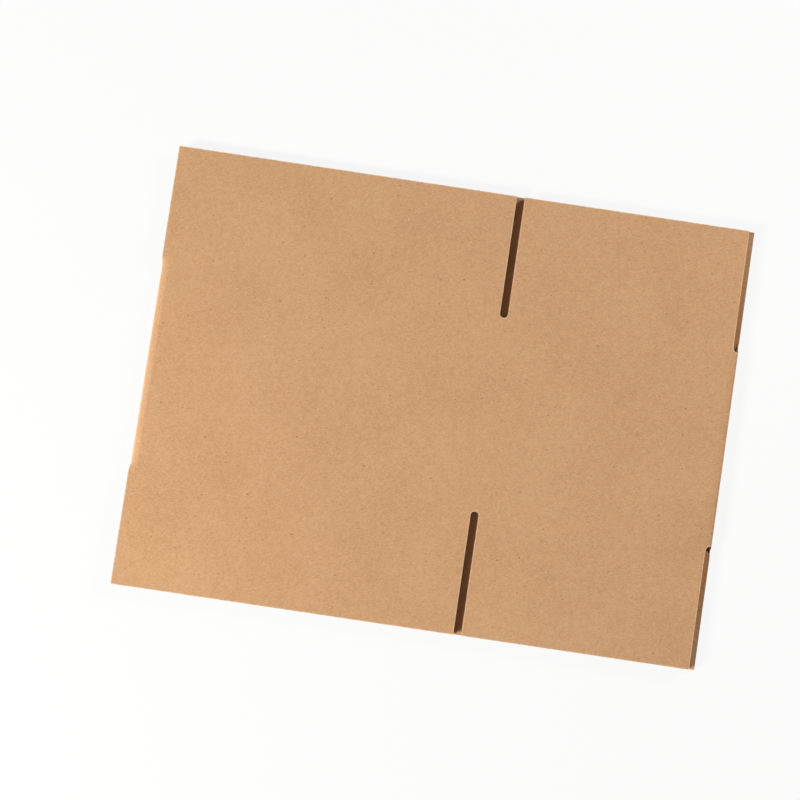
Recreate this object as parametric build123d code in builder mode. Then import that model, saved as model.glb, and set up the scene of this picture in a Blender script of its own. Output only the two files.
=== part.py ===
from build123d import *
from math import ceil, cos, pi, radians, sin, tan
import os

os.makedirs("parts", exist_ok=True)

# A slotted carton of single-wall corrugated board, glued and folded flat. X runs across the panels, Y runs
# up the box along the flutes, Z is up, and the origin is under the middle of the pack.

# Inside size of the box once it is set up
inside_length = 300.0
inside_width = 210.0
inside_height = 170.0

# Board: two liners on a fluted medium, B flute
board = 3.0
liner = 0.3
medium = 0.25
flute_pitch = 6.7
flute_offset = 2.2
flank_angle = 41.5

# Folded pack: the plies lie a little more than the tab apart, and the board is crushed where it turns back
ply_gap = 1.4
fold_wall = 1.5
fold_flare = 5.5

# Slots between the flaps, with their sides measured from the score that they lie on
slot_on_long = 0.85
slot_on_short = 5.9
slot_past_score = 2.0

# Scores, pressed into the outer liner
score_width = 8.0
score_depth = 0.15

# Glue tab on the long panel, crushed and stuck inside the short one
tab_width = 35.0
tab_board = 1.3
tab_setback = 4.0
tab_taper = 15.0
joint_gap = 4.0

# Panels from score to score leave the inside size free once the board has turned the corners
long_panel = inside_length + board
short_panel = inside_width + board
body_height = inside_height + 2 * board
flap = short_panel / 2
blank_height = body_height + 2 * flap

# The outer liner keeps its length round the half circle of a fold. The flaps are not bent, so those of the
# long panels reach a little past the folds.
thickness = 2 * board + ply_gap
fold_radius = thickness / 2
fold_take_up = (pi / 2) * (fold_radius - liner / 2) - fold_radius
half_body = (long_panel + short_panel) / 2 - fold_take_up
bend_x = half_body - fold_radius
flat_x = bend_x - fold_flare
long_flap_x = half_body + fold_take_up - slot_on_long
short_flap_x = half_body + fold_take_up - slot_on_short
score_x = long_panel - half_body - fold_take_up

slot_width = slot_on_long + slot_on_short
slot_end_y = body_height / 2 - slot_past_score
slot_length = blank_height / 2 + slot_width - slot_end_y
slot_y = slot_end_y + slot_length / 2
middle_slot_x = score_x - slot_on_long + slot_width / 2
fold_slot_x = short_flap_x + slot_width / 2

# Sections stand on the pack's lower end. Apart from the joint, the lower ply is the upper one turned half a
# turn about Y, and so are the two sides that the slots and scores are worked from.
pack_end = Plane(origin=(0, blank_height / 2, fold_radius), x_dir=(1, 0, 0), z_dir=(0, -1, 0))
body_end = Plane(origin=(0, body_height / 2, fold_radius), x_dir=(1, 0, 0), z_dir=(0, -1, 0))
upper_side = Plane(origin=(0, 0, fold_radius), x_dir=(1, 0, 0), z_dir=(0, 0, 1))
lower_side = Plane(origin=(0, 0, fold_radius), x_dir=(-1, 0, 0), z_dir=(0, 0, -1))

# A flute channel is the space between a liner and the medium: wide on the liner, with flats round its crown
flank = radians(flank_angle)
fluted_height = board - 2 * liner
channel_height = fluted_height - medium
channel_base = flute_pitch / 2 + fluted_height / tan(flank) - medium / sin(flank)
crown_radius = (channel_base / 2 - channel_height / tan(flank)) / tan(flank / 2)
crown_turns = (flank, flank / 3, -flank / 3, -flank)
crown = [(crown_radius * sin(turn), channel_height - crown_radius * (1 - cos(turn))) for turn in crown_turns]
with BuildSketch() as channel:
    with BuildLine():
        Polyline((-channel_base / 2, 0), (channel_base / 2, 0), *crown, close=True)
    make_face()

# One ply in section, with every channel as a hole. It is made over-long and trimmed to its flaps below.
ply_low = ply_gap / 2
ply_high = ply_low + board
flutes = ceil(long_flap_x / flute_pitch) + 1
ply_end = (flutes + 1) * flute_pitch
with BuildSketch() as board_outline:
    with Locations((0, (ply_low + ply_high) / 2)):
        Rectangle(2 * ply_end, board)
outline = board_outline.sketch.face().outer_wire()
opening = channel.sketch.face().outer_wire()
channels = []
for flute in range(-flutes, flutes + 1):
    crest_x = flute * flute_pitch + flute_offset
    valley_x = crest_x - flute_pitch / 2
    channels.append(opening.moved(Location((crest_x, ply_low + liner))))
    channels.append(opening.moved(Location((valley_x, ply_high - liner), 180)))
ply = Face(outline, channels)

with BuildPart() as flattened_carton:
    # Both plies, over the whole height of the blank
    with BuildSketch(pack_end):
        with PolarLocations(0, 2):
            add(ply)
    extrude(amount=blank_height)

    # They are trimmed to the long flaps, and further in where the panels' ends give way to the folds
    with BuildSketch(Plane.XY):
        trim = ply_end - long_flap_x + 1
        fold_trim = ply_end - flat_x + 1
        with Locations((long_flap_x + trim / 2, 0), (-long_flap_x - trim / 2, 0)):
            Rectangle(trim, blank_height + 1)
        with Locations((flat_x + fold_trim / 2, 0), (-flat_x - fold_trim / 2, 0)):
            Rectangle(fold_trim, body_height)
    extrude(amount=thickness, mode=Mode.SUBTRACT)

    # Folds: the crushed board swells round a half circle and flares out to its full thickness
    with BuildSketch(body_end):
        with BuildLine():
            swell = ThreePointArc((bend_x, -fold_radius), (half_body, 0), (bend_x, fold_radius))
            top = Line(swell @ 1, (flat_x, fold_radius))
            top_end = Line(top @ 1, (flat_x, ply_low))
            pinch = fold_radius - fold_wall
            throat = ThreePointArc((bend_x, pinch), (bend_x + pinch, 0), (bend_x, -pinch))
            Line(top_end @ 1, throat @ 0)
            flare = Line(throat @ 1, (flat_x, -ply_low))
            foot = Line(flare @ 1, (flat_x, -fold_radius))
            Line(foot @ 1, swell @ 0)
        make_face()
        mirror(about=Plane.YZ)
    extrude(amount=body_height)

    # Slots: one pair between the flaps of each ply, and one pair over each fold
    slots = [(x, y) for x in (middle_slot_x, fold_slot_x) for y in (-slot_y, slot_y)]
    with BuildSketch(upper_side, lower_side):
        with Locations(*slots):
            SlotOverall(slot_length, slot_width, rotation=90)
    extrude(amount=thickness, mode=Mode.SUBTRACT)

    # Joint: the short panel stops short of the long one, all the way between the lower slots
    joint_left = -score_x - joint_gap + slot_on_long
    joint_right = -score_x + slot_on_long
    with BuildSketch(body_end):
        with Locations(((joint_left + joint_right) / 2, -(ply_low + ply_high) / 2)):
            Rectangle(joint_right - joint_left, board)
    extrude(amount=body_height, mode=Mode.SUBTRACT)

    # Glue tab: the long panel's board steps in over the gap and lies on the short panel's inner face
    tab_height = body_height - 2 * tab_setback
    tab_end = Plane(origin=(0, tab_height / 2, 0), x_dir=(1, 0, 0), z_dir=(0, -1, 0))
    with BuildSketch(tab_end):
        with BuildLine():
            Polyline(
                (joint_right, 0),
                (joint_right, board),
                (joint_right - tab_board, board + tab_board),
                (joint_left - tab_board, board + tab_board),
                (joint_left - tab_board, board),
                (joint_left, board),
                close=True,
            )
        make_face()
    extrude(amount=tab_height)
    tab_slant = tab_width * tan(radians(tab_taper))
    with BuildSketch(Plane.XY.offset(board)):
        with BuildLine():
            root_x = joint_left
            tip_x = joint_right - tab_width
            Polyline(
                (root_x, -tab_height / 2),
                (root_x, tab_height / 2),
                (tip_x, tab_height / 2 - tab_slant),
                (tip_x, tab_slant - tab_height / 2),
                close=True,
            )
        make_face()
    extrude(amount=tab_board)

    # Scores across both plies, where the flaps fold, and one up the middle where the panels fold
    score_radius = (score_width**2 / 4 + score_depth**2) / (2 * score_depth)
    score_centre = fold_radius + score_radius - score_depth
    flap_scores = [(y, z) for y in (-body_height / 2, body_height / 2) for z in (-score_centre, score_centre)]
    with BuildSketch(Plane(origin=(-ply_end, 0, fold_radius), x_dir=(0, 1, 0), z_dir=(1, 0, 0))):
        with Locations(*flap_scores):
            Circle(score_radius)
    extrude(amount=2 * ply_end, mode=Mode.SUBTRACT)
    with BuildSketch(Plane(origin=(0, slot_end_y, fold_radius), x_dir=(1, 0, 0), z_dir=(0, -1, 0))):
        with Locations((score_x, score_centre)):
            Circle(score_radius)
    extrude(amount=2 * slot_end_y, mode=Mode.SUBTRACT)

flattened_carton.part.label = "flattened_carton"
export_step(flattened_carton.part, "parts/flattened_carton.step")
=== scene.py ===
import math

import bmesh
import bpy
from mathutils import Euler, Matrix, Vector, noise


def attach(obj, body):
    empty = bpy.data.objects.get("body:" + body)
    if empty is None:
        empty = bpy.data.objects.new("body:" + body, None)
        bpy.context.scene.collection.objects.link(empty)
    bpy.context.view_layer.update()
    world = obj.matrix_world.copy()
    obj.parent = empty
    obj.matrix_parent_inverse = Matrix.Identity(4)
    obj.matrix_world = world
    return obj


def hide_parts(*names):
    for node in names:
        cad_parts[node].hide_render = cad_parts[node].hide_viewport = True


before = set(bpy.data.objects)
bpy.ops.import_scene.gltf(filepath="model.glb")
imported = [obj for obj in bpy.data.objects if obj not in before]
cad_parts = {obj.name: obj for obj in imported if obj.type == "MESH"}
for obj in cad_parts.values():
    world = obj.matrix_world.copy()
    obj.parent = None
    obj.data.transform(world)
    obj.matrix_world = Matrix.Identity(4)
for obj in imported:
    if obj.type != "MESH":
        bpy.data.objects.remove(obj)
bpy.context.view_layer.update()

# Corrugated board
# The carton is one blank of single-wall board: two kraft liners glued to the crests of a fluted medium.
# Here it lies flat, in millimetres, with X along the panels, Y along the flutes and Z out of the outer
# face. X is 0 at the left fold, and negative on the short panel that the glue tab is stuck to.
long_panel, short_panel, body_height = 303.0, 213.0, 176.0
blank_height = body_height + short_panel
board, liner, medium = 3.0, 0.3, 0.25
flute_pitch, flute_steps = 6.7, 10
first_crest, flutes = -215.5, 160
edge_trim, joint_gap, tab_width = 0.85, 4.0, 35.0
short_edge = joint_gap - edge_trim - short_panel
long_edge = 2 * long_panel + short_panel - edge_trim

# In section, six lines bound five strips: a liner, an open space, the medium, a space and a liner. The
# medium is pulled into a wave, and merged with the liners along narrow glue lines at its crests.
strips, spaces = 5, (1, 3)
columns = flutes * flute_steps
blank = bmesh.new()
bmesh.ops.create_grid(blank, x_segments=columns, y_segments=strips, size=0.5)
open_faces = [f for f in blank.faces if int((f.calc_center_median().y + 0.5) * strips) in spaces]
bmesh.ops.delete(blank, geom=open_faces, context="FACES")

glue_half = 0.5 / flute_steps
wave_rise = board - 2 * liner - medium
wave_spare = (1 - math.cos(math.tau * glue_half)) / 2


def medium_middle(turn):
    """Height of the medium's middle, with the wave's tips flattened where they are glued."""
    share = ((1 + math.cos(math.tau * turn)) / 2 - wave_spare) / (1 - 2 * wave_spare)
    return liner + medium / 2 + wave_rise * min(max(share, 0), 1)


slope_step = 0.02
for vert in blank.verts:
    turn = (round((vert.co.x + 0.5) * columns) + 0.5) / flute_steps
    line = round((vert.co.y + 0.5) * strips)
    middle = medium_middle(turn)
    climb = medium_middle(turn + slope_step) - medium_middle(turn - slope_step)
    half_wall = medium / 2 * math.hypot(1, climb / (2 * slope_step * flute_pitch))
    low, high = max(middle - half_wall, liner), min(middle + half_wall, board - liner)
    height = (0, liner, low, high, board - liner, board)[line]
    vert.co = (first_crest + turn * flute_pitch, -blank_height / 2, height)
weld = 0.001
bmesh.ops.remove_doubles(blank, verts=blank.verts, dist=weld)

for edge_x, outward in ((short_edge, -1), (long_edge + tab_width, 1)):
    bmesh.ops.bisect_plane(
        blank,
        geom=blank.verts[:] + blank.edges[:] + blank.faces[:],
        plane_co=(edge_x, 0, 0),
        plane_no=(outward, 0, 0),
        clear_outer=True,
    )


def push(mesh, faces, way):
    """Extrudes flat faces into a solid."""
    pushed = bmesh.ops.extrude_face_region(mesh, geom=faces)["geom"]
    bmesh.ops.translate(mesh, verts=[g for g in pushed if isinstance(g, bmesh.types.BMVert)], vec=way)


push(blank, blank.faces[:], (0, blank_height, 0))
bmesh.ops.recalc_face_normals(blank, faces=blank.faces)

# Slots and glue tab
# A slotter punches a round-ended slot at each end of every panel score, which parts the flaps. The same
# stroke trims the glue tab on the long panel's edge to a taper.
joint_score, left_fold, middle_score, right_fold = -short_panel, 0.0, long_panel, long_panel + short_panel
slot_on_long, slot_on_short = edge_trim, 6.25
slot_past_score = 2.0
slot_radius = (slot_on_long + slot_on_short) / 2
slot_round_y = body_height / 2 - slot_past_score + slot_radius
slot_shift = (slot_on_short - slot_on_long) / 2
slot_middles = (
    left_fold - slot_shift,
    middle_score + slot_shift,
    right_fold - slot_shift,
    joint_score + slot_shift,
)
slot_segments = 48
tab_setback, tab_slope = 4.0, 0.241
tab_half_height = body_height / 2 - tab_setback
punch_reach, punch_depth, punch_past = 120.0, 6.0, 1.0


def each_once(parts):
    """A mesh's parts without repeats, in an order that is the same every time."""
    return list(dict.fromkeys(parts))


punch = bmesh.new()
for slot_x in slot_middles:
    for end in (-1, 1):
        slot = bmesh.ops.create_circle(punch, cap_ends=True, segments=slot_segments, radius=slot_radius)
        outer_half = [v for v in slot["verts"] if v.co.y * end > weld]
        bmesh.ops.translate(punch, verts=outer_half, vec=(0, end * punch_reach, 0))
        bmesh.ops.translate(punch, verts=slot["verts"], vec=(slot_x, end * slot_round_y, -punch_past))
        push(punch, each_once(f for v in slot["verts"] for f in v.link_faces), (0, 0, punch_depth))

# What is trimmed off beside the tab goes from the panel's edge over the joint's gap to the tab's tip
for end in (-1, 1):
    offcut = bmesh.ops.create_grid(punch, x_segments=2, y_segments=1, size=1)["verts"]
    for vert in offcut:
        past_root = vert.co.x * (tab_width if vert.co.x > 0 else joint_gap)
        inner = tab_half_height - tab_slope * max(past_root, 0)
        reach = inner if vert.co.y * end < 0 else blank_height
        vert.co = (long_edge + joint_gap + past_root, end * reach, -punch_past)
    push(punch, each_once(f for v in offcut for f in v.link_faces), (0, 0, punch_depth))
bmesh.ops.recalc_face_normals(punch, faces=punch.faces)


def made_object(name, mesh):
    """Gives a bmesh an object of its own in the scene."""
    data = bpy.data.meshes.new(name)
    mesh.to_mesh(data)
    mesh.free()
    made = bpy.data.objects.new(name, data)
    bpy.context.scene.collection.objects.link(made)
    return made


flat_blank = made_object("flat_blank", blank)
slot_punch = made_object("slot_punch", punch)
slotting = flat_blank.modifiers.new("slotting", "BOOLEAN")
slotting.operation = "DIFFERENCE"
slotting.solver = "EXACT"
slotting.object = slot_punch
depsgraph = bpy.context.evaluated_depsgraph_get()
slotted = bpy.data.meshes.new_from_object(flat_blank.evaluated_get(depsgraph))
carton = bmesh.new()
carton.from_mesh(slotted)
for spent in (flat_blank, slot_punch):
    bpy.data.meshes.remove(spent.data)
bpy.data.meshes.remove(slotted)

# The faces are told apart while the blank is flat: the outer face, the channels of the flutes, the cut
# edges, which stand upright, and the inner face.
OUTER_FACE, CHANNEL, CUT_EDGE, INNER_FACE = 0, 1, 2, 3
upright = 0.05
for face in carton.faces:
    height = face.calc_center_median().z
    if abs(face.normal.z) < upright:
        face.material_index = CUT_EDGE
    elif height > board - liner / 2:
        face.material_index = OUTER_FACE
    else:
        face.material_index = INNER_FACE if height < liner / 2 else CHANNEL

# Scores, folds and glued joint
# Scoring wheels press shallow creases where the flaps and panels fold. The blank is folded flat round its
# two outer panel scores, where its flutes are crushed, and the crushed tab is glued inside the short panel.
score_width, score_depth = 8.0, 0.03
washboard_depth = 0.012
rim_width, rim_dip = 1.3, 0.035
ply_gap = 1.4
tab_board, tab_step = 1.3, 3.5
pack_middle = board + ply_gap / 2
half_blank = (long_panel + short_panel) / 2

# The left fold's nose drops further than the right one's, which is pushed further out. Past the slots' ends
# the bent board goes over into the flat flaps.
fold_wall, fold_flare = 1.5, 5.5
fold_radius = pack_middle
bend_length = math.pi / 2 * (fold_radius - liner / 2)
bend_x = half_blank - bend_length
nose_bluntness, slope_width, slope_curve = 4.5, 6.0, 1.3
left_drop, left_reach = 1.8, 0.15
right_drop, right_reach = 0.6, 1.0
bend_end, flap_start, bend_steps = 86.0, 96.0, 5
crease_spare = 2.0


def rule_across(faces, rows):
    """Adds an edge across these faces at each height of the box, where there is none yet."""
    for row_y in rows:
        ruled = bmesh.ops.bisect_plane(
            carton,
            dist=weld,
            geom=each_once(g for f in faces for g in (f, *f.edges, *f.verts)),
            plane_co=(0, row_y, 0),
            plane_no=(0, 1, 0),
        )["geom"]
        faces = [g for g in ruled if isinstance(g, bmesh.types.BMFace)]


score_rows = [body_height / 2 + score_width * share for share in (-0.5, -0.25, 0, 0.25, 0.5)]
rim_row = blank_height / 2 - rim_width
outer_faces = [f for f in carton.faces if f.material_index == OUTER_FACE]
rule_across(outer_faces, [end * row for end in (-1, 1) for row in (*score_rows, rim_row)])
bend_rows = [bend_end + (flap_start - bend_end) * step / bend_steps for step in range(bend_steps + 1)]
crease = bend_length + fold_flare + crease_spare
for fold_x in (left_fold, right_fold):
    near_fold = [f for f in carton.faces if abs(f.calc_center_median().x - fold_x) < crease]
    rule_across(near_fold, [end * row for end in (-1, 1) for row in bend_rows])


def smooth(share):
    """Smooth step from 0 to 1."""
    share = min(max(share, 0), 1)
    return share * share * (3 - 2 * share)


def folded(along, up, out):
    """Where a point of the flat blank comes to lie in the folded pack."""
    fold_x, side, drop, reach = left_fold, -1, left_drop, left_reach
    if along > half_blank:
        fold_x, side, drop, reach = right_fold, 1, right_drop, right_reach
    beyond = side * (fold_x - along)
    depth, face = abs(beyond), math.copysign(1, beyond)
    flat = Vector((side * (half_blank - depth), up, pack_middle + face * (ply_gap / 2 + out)))
    if along > long_edge:
        # The tab is crushed, and steps in onto the short panel's inner face
        step = smooth((along - long_edge) / tab_step)
        skin, back = board * step, board + tab_board * step
        flat.z = skin + (back - skin) * (1 - out / board)
    if depth > bend_length + fold_flare:
        return flat
    # The crushed board turns round a blunt nose, and slopes down to it
    crush = fold_wall / board + (1 - fold_wall / board) * smooth((depth - bend_length) / fold_flare)
    radius = fold_radius - (board - out) * crush
    if depth < bend_length:
        angle = depth / (fold_radius - liner / 2)
        across, rise = math.cos(angle), math.sin(angle)
        radius *= (across**nose_bluntness + rise**nose_bluntness) ** (-1 / nose_bluntness)
        away, height = bend_x + radius * across, radius * rise
    else:
        away, height = half_blank - depth, radius
    slope = max(1 - (bend_x + fold_radius - away) / slope_width, 0) ** slope_curve
    height *= 1 - drop / fold_radius * slope
    away += reach * smooth(1 - depth / (bend_length + fold_flare))
    bent = Vector((side * away, up, pack_middle + face * height))
    return bent.lerp(flat, smooth((abs(up) - bend_end) / (flap_start - bend_end)))


def cut_distance(along, up):
    """Distance to the nearest slot or cut end, in the flat blank."""
    past_round = min(abs(up) - slot_round_y, 0)
    slots = [math.hypot(along - slot_x, past_round) - slot_radius for slot_x in slot_middles]
    ends = [blank_height / 2 - abs(up), along - short_edge, abs(long_edge - along)]
    return max(min(slots + ends), 0)


# Cut ends are a little uneven, and the medium tears back behind the liners
wide_tears, narrow_tears, tear_layers = 0.35, 1.7, 3
liner_tear, medium_tear, tear_middle = 0.1, 0.22, 0.6


def torn_back(along, up, out):
    """How far the board's edge lies behind its cut end."""
    in_medium = liner + weld < out < board - liner - weld
    wide = noise.noise(Vector((along * wide_tears, out, up)))
    narrow = noise.noise(Vector((along * narrow_tears, out * tear_layers, up)))
    return (medium_tear if in_medium else liner_tear) * max(wide + narrow / 2 + tear_middle, 0)


def pressed_in(along, up, out, near_cut):
    """How far the board's faces are pressed in, by the punch, between the flutes' crests and at scores."""
    trough = (1 - math.cos(math.tau * (along - first_crest) / flute_pitch)) / 2
    across = max(1 - abs(abs(up) - body_height / 2) * 2 / score_width, 0)
    upward = max(1 - abs(along - middle_score) * 2 / score_width, 0) * (abs(up) < body_height / 2)
    scored = (smooth(across) + smooth(upward)) * (out > board / 2)
    return rim_dip * near_cut**2 + washboard_depth * trough * (out > board - weld) + score_depth * scored


ragged_end = blank_height / 2 - weld
rim = carton.verts.layers.float.new("rim")
for vert in carton.verts:
    along, up, out = vert.co
    near_cut = 1 - min(cut_distance(along, up) / rim_width, 1)
    vert[rim] = near_cut
    if abs(up) > ragged_end:
        up -= math.copysign(torn_back(along, up, out), up)
    level = 2 * out / board - 1
    vert.co = folded(along, up, out - pressed_in(along, up, out, near_cut) * level)

millimetre = 0.001
bmesh.ops.scale(carton, verts=carton.verts, vec=(millimetre,) * 3)
bmesh.ops.recalc_face_normals(carton, faces=carton.faces)
crisp = math.radians(35)
for face in carton.faces:
    face.smooth = True
for edge in carton.edges:
    kinds = {f.material_index for f in edge.link_faces}
    edge.smooth = CUT_EDGE not in kinds and edge.calc_face_angle(0) < crisp
folded_carton = made_object("folded_carton", carton)

# Kraft paper
# Unbleached kraft pulp: long fibres in a cloudy mat, with a few dark bark specks. The liners are smooth,
# the medium between them is darker, and cut edges and rims are frayed paler.


def node_group(name, inputs, outputs):
    """A shader node group with these sockets, and its input and output nodes."""
    group = bpy.data.node_groups.new(name, "ShaderNodeTree")
    for socket, kind, value in inputs:
        made = group.interface.new_socket(socket, in_out="INPUT", socket_type=kind)
        if value is not None:
            made.default_value = value
    for socket, kind in outputs:
        group.interface.new_socket(socket, in_out="OUTPUT", socket_type=kind)
    return group, group.nodes.new("NodeGroupInput"), group.nodes.new("NodeGroupOutput")


def put(tree, kind, values=(), links=(), **settings):
    """Adds a node, with its settings, its sockets' values and what feeds them."""
    node = tree.nodes.new(kind)
    for name, value in settings.items():
        setattr(node, name, value)
    for socket, value in dict(values).items():
        node.inputs[socket].default_value = value
    for socket, source in dict(links).items():
        tree.links.new(source, node.inputs[socket])
    return node


def spread(tree, source, low, high, to_low=0.0, to_high=1.0):
    """Maps the range low to high of a value onto another range."""
    values = {"From Min": low, "From Max": high, "To Min": to_low, "To Max": to_high}
    return put(tree, "ShaderNodeMapRange", values, {"Value": source}).outputs["Result"]


noise_middle = 0.5


def swing(tree, source, reach, depth):
    """Maps a noise, as far as it reaches from its middle, onto a swing of this depth either side of 0."""
    return spread(tree, source, noise_middle - reach, noise_middle + reach, -depth, depth)


def combined(tree, operation, *terms):
    """Joins values or sockets, two by two, with one operation."""
    total = terms[0]
    for term in terms[1:]:
        node = put(tree, "ShaderNodeMath", operation=operation)
        for socket, part in zip(node.inputs, (total, term), strict=False):
            if isinstance(part, (int, float)):
                socket.default_value = part
            else:
                tree.links.new(part, socket)
        total = node.outputs[0]
    return total


mix_share, mix_under, mix_over, mix_result = 0, 6, 7, 2


def mixed(tree, share, under, over):
    """Lays one colour over another, by the numbers of a Mix node's colour sockets."""
    links = {mix_share: share, mix_under: under, mix_over: over}
    return put(tree, "ShaderNodeMix", {}, links, data_type="RGBA").outputs[mix_result]


pulp, pulp_in, pulp_out = node_group(
    "kraft_pulp",
    [
        ("Vector", "NodeSocketVector", None),
        ("Pulp", "NodeSocketColor", (0.6, 0.36, 0.18, 1)),
        ("Dark Fibre", "NodeSocketColor", (0.3, 0.15, 0.06, 1)),
        ("Pale Fibre", "NodeSocketColor", (0.8, 0.56, 0.33, 1)),
        ("Cloud", "NodeSocketFloat", 0.1),
        ("Fibres", "NodeSocketFloat", 0.3),
        ("Specks", "NodeSocketFloat", 0.8),
    ],
    [("Color", "NodeSocketColor"), ("Height", "NodeSocketFloat")],
)
place = pulp_in.outputs["Vector"]


def grain(cells, detail, roughness=0.5, vector=place, distortion=0.0):
    """Noise over the paper, at so many cells a metre."""
    values = {"Scale": cells, "Detail": detail, "Roughness": roughness, "Distortion": distortion}
    return put(pulp, "ShaderNodeTexNoise", values, {"Vector": vector}).outputs["Fac"]


def drawn_out(lie, stretch):
    """The place on the paper, with patterns drawn out along one lie, in radians from across the flutes."""
    values = {"Rotation": (0, 0, lie), "Scale": (stretch, 1, 1)}
    return put(pulp, "ShaderNodeMapping", values, {"Vector": place}, vector_type="TEXTURE").outputs[0]


# The mat is cloudy at three scales. Most fibres lie across the flutes, since that is how the paper ran.
paper_run = 0.1
cloud = grain(cells=170, detail=3, roughness=0.6)
drift = grain(cells=14, detail=2)
tooth = grain(cells=1100, detail=2, roughness=0.6, vector=drawn_out(paper_run, stretch=2.2))
shade = combined(
    pulp,
    "ADD",
    swing(pulp, cloud, reach=0.2, depth=0.34),
    swing(pulp, drift, reach=0.2, depth=0.3),
    swing(pulp, tooth, reach=0.25, depth=1.4),
)
tone = combined(pulp, "MULTIPLY", shade, pulp_in.outputs["Cloud"])
darker = combined(pulp, "MAXIMUM", combined(pulp, "MULTIPLY", tone, -1.0), 0.0)
paler = combined(pulp, "MAXIMUM", tone, 0.0)

# Single fibres are thin lines where a wavy, drawn-out noise crosses its middle
fibre_stretch, fibre_wander, fibre_width = 6.0, 0.7, 0.05
strands = []
for lie, cells in ((-0.8, 700), (0.3, 620), (-0.25, 760), (0.85, 540)):
    wavy = grain(cells, detail=1, vector=drawn_out(lie, fibre_stretch), distortion=fibre_wander)
    ridge = combined(pulp, "SUBTRACT", wavy, noise_middle)
    line = put(pulp, "ShaderNodeMath", {}, {0: ridge}, operation="ABSOLUTE").outputs[0]
    strands.append(spread(pulp, line, 0.0, fibre_width, 1.0, 0.0))
dark_strand = combined(pulp, "MAXIMUM", strands[0], strands[1])
pale_strand = combined(pulp, "MAXIMUM", strands[2], strands[3])

# Bark specks sit in fewer than half of the cells, in many sizes and with ragged edges
speck_cells, speck_stretch, no_speck = 90.0, 1.8, 0.55
largest_speck, speck_edge = 0.05, 0.006
speckle = put(
    pulp,
    "ShaderNodeTexVoronoi",
    {"Scale": speck_cells, "Randomness": 1.0},
    {"Vector": drawn_out(paper_run, speck_stretch)},
    voronoi_dimensions="2D",
)
chance = put(pulp, "ShaderNodeSeparateColor", {}, {"Color": speckle.outputs["Color"]}).outputs["Red"]
size = spread(pulp, chance, no_speck, 1.0, 0.0, largest_speck)
ragged = spread(pulp, tooth, 0.3, 0.7, -2 * speck_edge, speck_edge)
inside = combined(pulp, "ADD", combined(pulp, "SUBTRACT", size, speckle.outputs["Distance"]), ragged)
speck = spread(pulp, inside, 0.0, speck_edge)

fibres, specks = pulp_in.outputs["Fibres"], pulp_in.outputs["Specks"]
colour = pulp_in.outputs["Pulp"]
for share, over in (
    (darker, "Dark Fibre"),
    (paler, "Pale Fibre"),
    (combined(pulp, "MULTIPLY", dark_strand, fibres), "Dark Fibre"),
    (combined(pulp, "MULTIPLY", pale_strand, fibres), "Pale Fibre"),
    (combined(pulp, "MULTIPLY", speck, specks), "Dark Fibre"),
):
    colour = mixed(pulp, share, colour, pulp_in.outputs[over])
pulp.links.new(colour, pulp_out.inputs["Color"])
fibre_relief, cloud_relief = 0.5, 0.8
relief = combined(
    pulp,
    "ADD",
    tooth,
    combined(pulp, "MULTIPLY", pale_strand, fibre_relief),
    combined(pulp, "MULTIPLY", cloud, cloud_relief),
)
pulp.links.new(relief, pulp_out.inputs["Height"])

fray, fray_in, fray_out = node_group(
    "frayed_rim",
    [
        ("Vector", "NodeSocketVector", None),
        ("Color", "NodeSocketColor", (0.6, 0.36, 0.18, 1)),
        ("Frayed", "NodeSocketColor", (0.8, 0.6, 0.4, 1)),
        ("Rim", "NodeSocketFloat", 0.0),
        ("Amount", "NodeSocketFloat", 0.6),
    ],
    [("Color", "NodeSocketColor")],
)
tuft_cells, worn_from = 420.0, 0.3
tuft_values = {"Scale": tuft_cells, "Detail": 3.0}
tuft = put(fray, "ShaderNodeTexNoise", tuft_values, {"Vector": fray_in.outputs["Vector"]}).outputs["Fac"]
uneven = combined(fray, "ADD", fray_in.outputs["Rim"], swing(fray, tuft, reach=0.2, depth=0.3))
worn = spread(fray, uneven, worn_from, 1.0)
amount = combined(fray, "MULTIPLY", worn, fray_in.outputs["Amount"])
frayed = mixed(fray, amount, fray_in.outputs["Color"], fray_in.outputs["Frayed"])
fray.links.new(frayed, fray_out.inputs["Color"])

shine = 0.1


def paper(name, pulp_values, rim_values, bump, roughness):
    """Gives the carton a paper material, from pulp with frayed rims. Its bump is in metres."""
    made = bpy.data.materials.new(name)
    made.use_nodes = True
    tree = made.node_tree
    where = tree.nodes.new("ShaderNodeTexCoord").outputs["Object"]
    near_rim = put(tree, "ShaderNodeAttribute", attribute_name="rim").outputs["Fac"]
    fibre_mat = put(tree, "ShaderNodeGroup", pulp_values, {"Vector": where}, node_tree=pulp)
    rim_links = {"Vector": where, "Color": fibre_mat.outputs["Color"], "Rim": near_rim}
    edge_wear = put(tree, "ShaderNodeGroup", rim_values, rim_links, node_tree=fray)
    bump_values = {"Strength": 1.0, "Distance": bump}
    tooth_bump = put(tree, "ShaderNodeBump", bump_values, {"Height": fibre_mat.outputs["Height"]})
    shader = tree.nodes["Principled BSDF"]
    tree.links.new(edge_wear.outputs["Color"], shader.inputs["Base Color"])
    tree.links.new(tooth_bump.outputs["Normal"], shader.inputs["Normal"])
    shader.inputs["Roughness"].default_value = roughness
    shader.inputs["Specular IOR Level"].default_value = shine
    folded_carton.data.materials.append(made)


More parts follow.
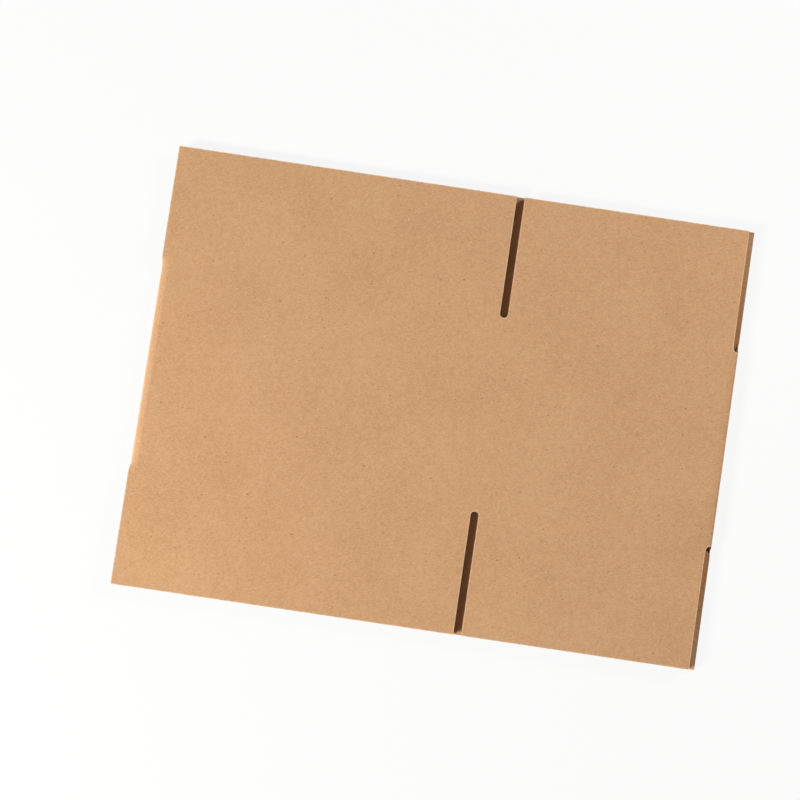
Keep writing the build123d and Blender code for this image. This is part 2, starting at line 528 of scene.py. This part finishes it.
# One material for each kind of face, in the order of their numbers above
kraft, bark, pale_kraft = (0.65, 0.365, 0.187, 1), (0.2, 0.09, 0.035, 1), (0.84, 0.6, 0.37, 1)
frayed_kraft = (0.85, 0.63, 0.41, 1)
fluting = (0.5, 0.3, 0.16, 1)
# The inner liner's pulp and pale fibres are kraft tinted redder and more saturated: painted warm shade for
# the slots and strips where the inner face shows.
inner_kraft_and_painted_shade, pale_inner_and_painted_shade = (0.66, 0.325, 0.145, 1), (0.78, 0.48, 0.26, 1)
outer_pulp = {"Pulp": kraft, "Dark Fibre": bark, "Pale Fibre": pale_kraft}
fluting_pulp = {"Pulp": fluting, "Dark Fibre": bark, "Pale Fibre": kraft}
inner_pulp_and_painted_shade = {"Pulp": inner_kraft_and_painted_shade, "Dark Fibre": bark, "Pale Fibre": pale_inner_and_painted_shade}
paper(
    "kraft_liner",
    {**outer_pulp, "Cloud": 0.2, "Fibres": 0.14, "Specks": 0.75},
    {"Frayed": frayed_kraft, "Amount": 0.8},
    bump=0.00004,
    roughness=0.72,
)
paper(
    "fluting_paper",
    {**fluting_pulp, "Cloud": 0.2, "Fibres": 0.15, "Specks": 0.4},
    {"Frayed": kraft, "Amount": 0.2},
    bump=0.00003,
    roughness=0.85,
)
paper(
    "cut_paper",
    {**outer_pulp, "Cloud": 0.35, "Fibres": 0.3, "Specks": 0.2},
    {"Frayed": frayed_kraft, "Amount": 0.3},
    bump=0.00008,
    roughness=0.9,
)
# Inner liner: kraft colour with painted warm shade in its redder tint
paper(
    "inner_liner_painted_shade",
    {**inner_pulp_and_painted_shade, "Cloud": 0.22, "Fibres": 0.16, "Specks": 0.6},
    {"Frayed": frayed_kraft, "Amount": 0.35},
    bump=0.00004,
    roughness=0.8,
)

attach(folded_carton, "root")
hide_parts("flattened_carton")

# Floor, light and camera
# A plain white floor under a soft light from the lower left and a weaker one from the upper right. The
# camera looks almost straight down.
floor_half = 6
floor_mesh = bmesh.new()
bmesh.ops.create_grid(floor_mesh, x_segments=1, y_segments=1, size=floor_half)
floor = made_object("floor", floor_mesh)


def seen_directly(tree):
    """A mask of the rays that show a background as it is: the camera's, and those in gloss or glass."""
    rays = tree.nodes.new("ShaderNodeLightPath").outputs
    kinds = ("Is Camera Ray", "Is Glossy Ray", "Is Transmission Ray")
    return combined(tree, "MAXIMUM", *(rays[kind] for kind in kinds))


floor_glow = 0.88
floor_paint = bpy.data.materials.new("white_floor")
floor_paint.use_nodes = True
tree = floor_paint.node_tree
tree.nodes.remove(tree.nodes["Principled BSDF"])
lit = put(tree, "ShaderNodeBsdfDiffuse", {"Color": (0.85, 0.85, 0.85, 1)})
glow = put(tree, "ShaderNodeEmission", {"Color": (1, 1, 1, 1), "Strength": 1.0})
share = combined(tree, "MULTIPLY", seen_directly(tree), floor_glow)
blend = put(tree, "ShaderNodeMixShader", {}, {0: share, 1: lit.outputs[0], 2: glow.outputs[0]})
tree.links.new(blend.outputs[0], tree.nodes["Material Output"].inputs["Surface"])
floor.data.materials.append(floor_paint)

ambient = 0.06
world = bpy.data.worlds.new("studio")
bpy.context.scene.world = world
world.use_nodes = True
tree = world.node_tree
background = tree.nodes["Background"]
background.inputs["Color"].default_value = (1, 1, 1, 1)
strength = combined(tree, "ADD", ambient, combined(tree, "MULTIPLY", seen_directly(tree), 1 - ambient))
tree.links.new(strength, background.inputs["Strength"])

lamp_tint = (1, 0.98, 0.95)


def softbox(name, bearing, elevation, distance, width, watts):
    """A square area light aimed at the carton, by its bearing from +X and its elevation in degrees."""
    lamp = bpy.data.lights.new(name, "AREA")
    lamp.size, lamp.energy, lamp.color = width, watts, lamp_tint
    made = bpy.data.objects.new(name, lamp)
    away = Vector((1, 0, 0))
    away.rotate(Euler((0, -math.radians(elevation), math.radians(bearing))))
    made.location = away * distance
    made.rotation_euler = away.to_track_quat("Z", "Y").to_euler()
    bpy.context.scene.collection.objects.link(made)


softbox("key_light", bearing=211, elevation=25, distance=2.5, width=0.52, watts=95)
softbox("fill_light", bearing=38, elevation=20, distance=1.9, width=0.5, watts=27)

camera_place = (-0.03598, -0.07439, 1.4076)
camera_turn = (3.018, -0.63, 8.472)
camera = bpy.data.cameras.new("camera")
camera.sensor_width, camera.lens = 36.0, 72.0
viewer = bpy.data.objects.new("camera", camera)
viewer.location = camera_place
viewer.rotation_euler = Euler([math.radians(angle) for angle in camera_turn])
bpy.context.scene.collection.objects.link(viewer)
bpy.context.scene.camera = viewer
bpy.context.scene.view_settings.view_transform = "Standard"
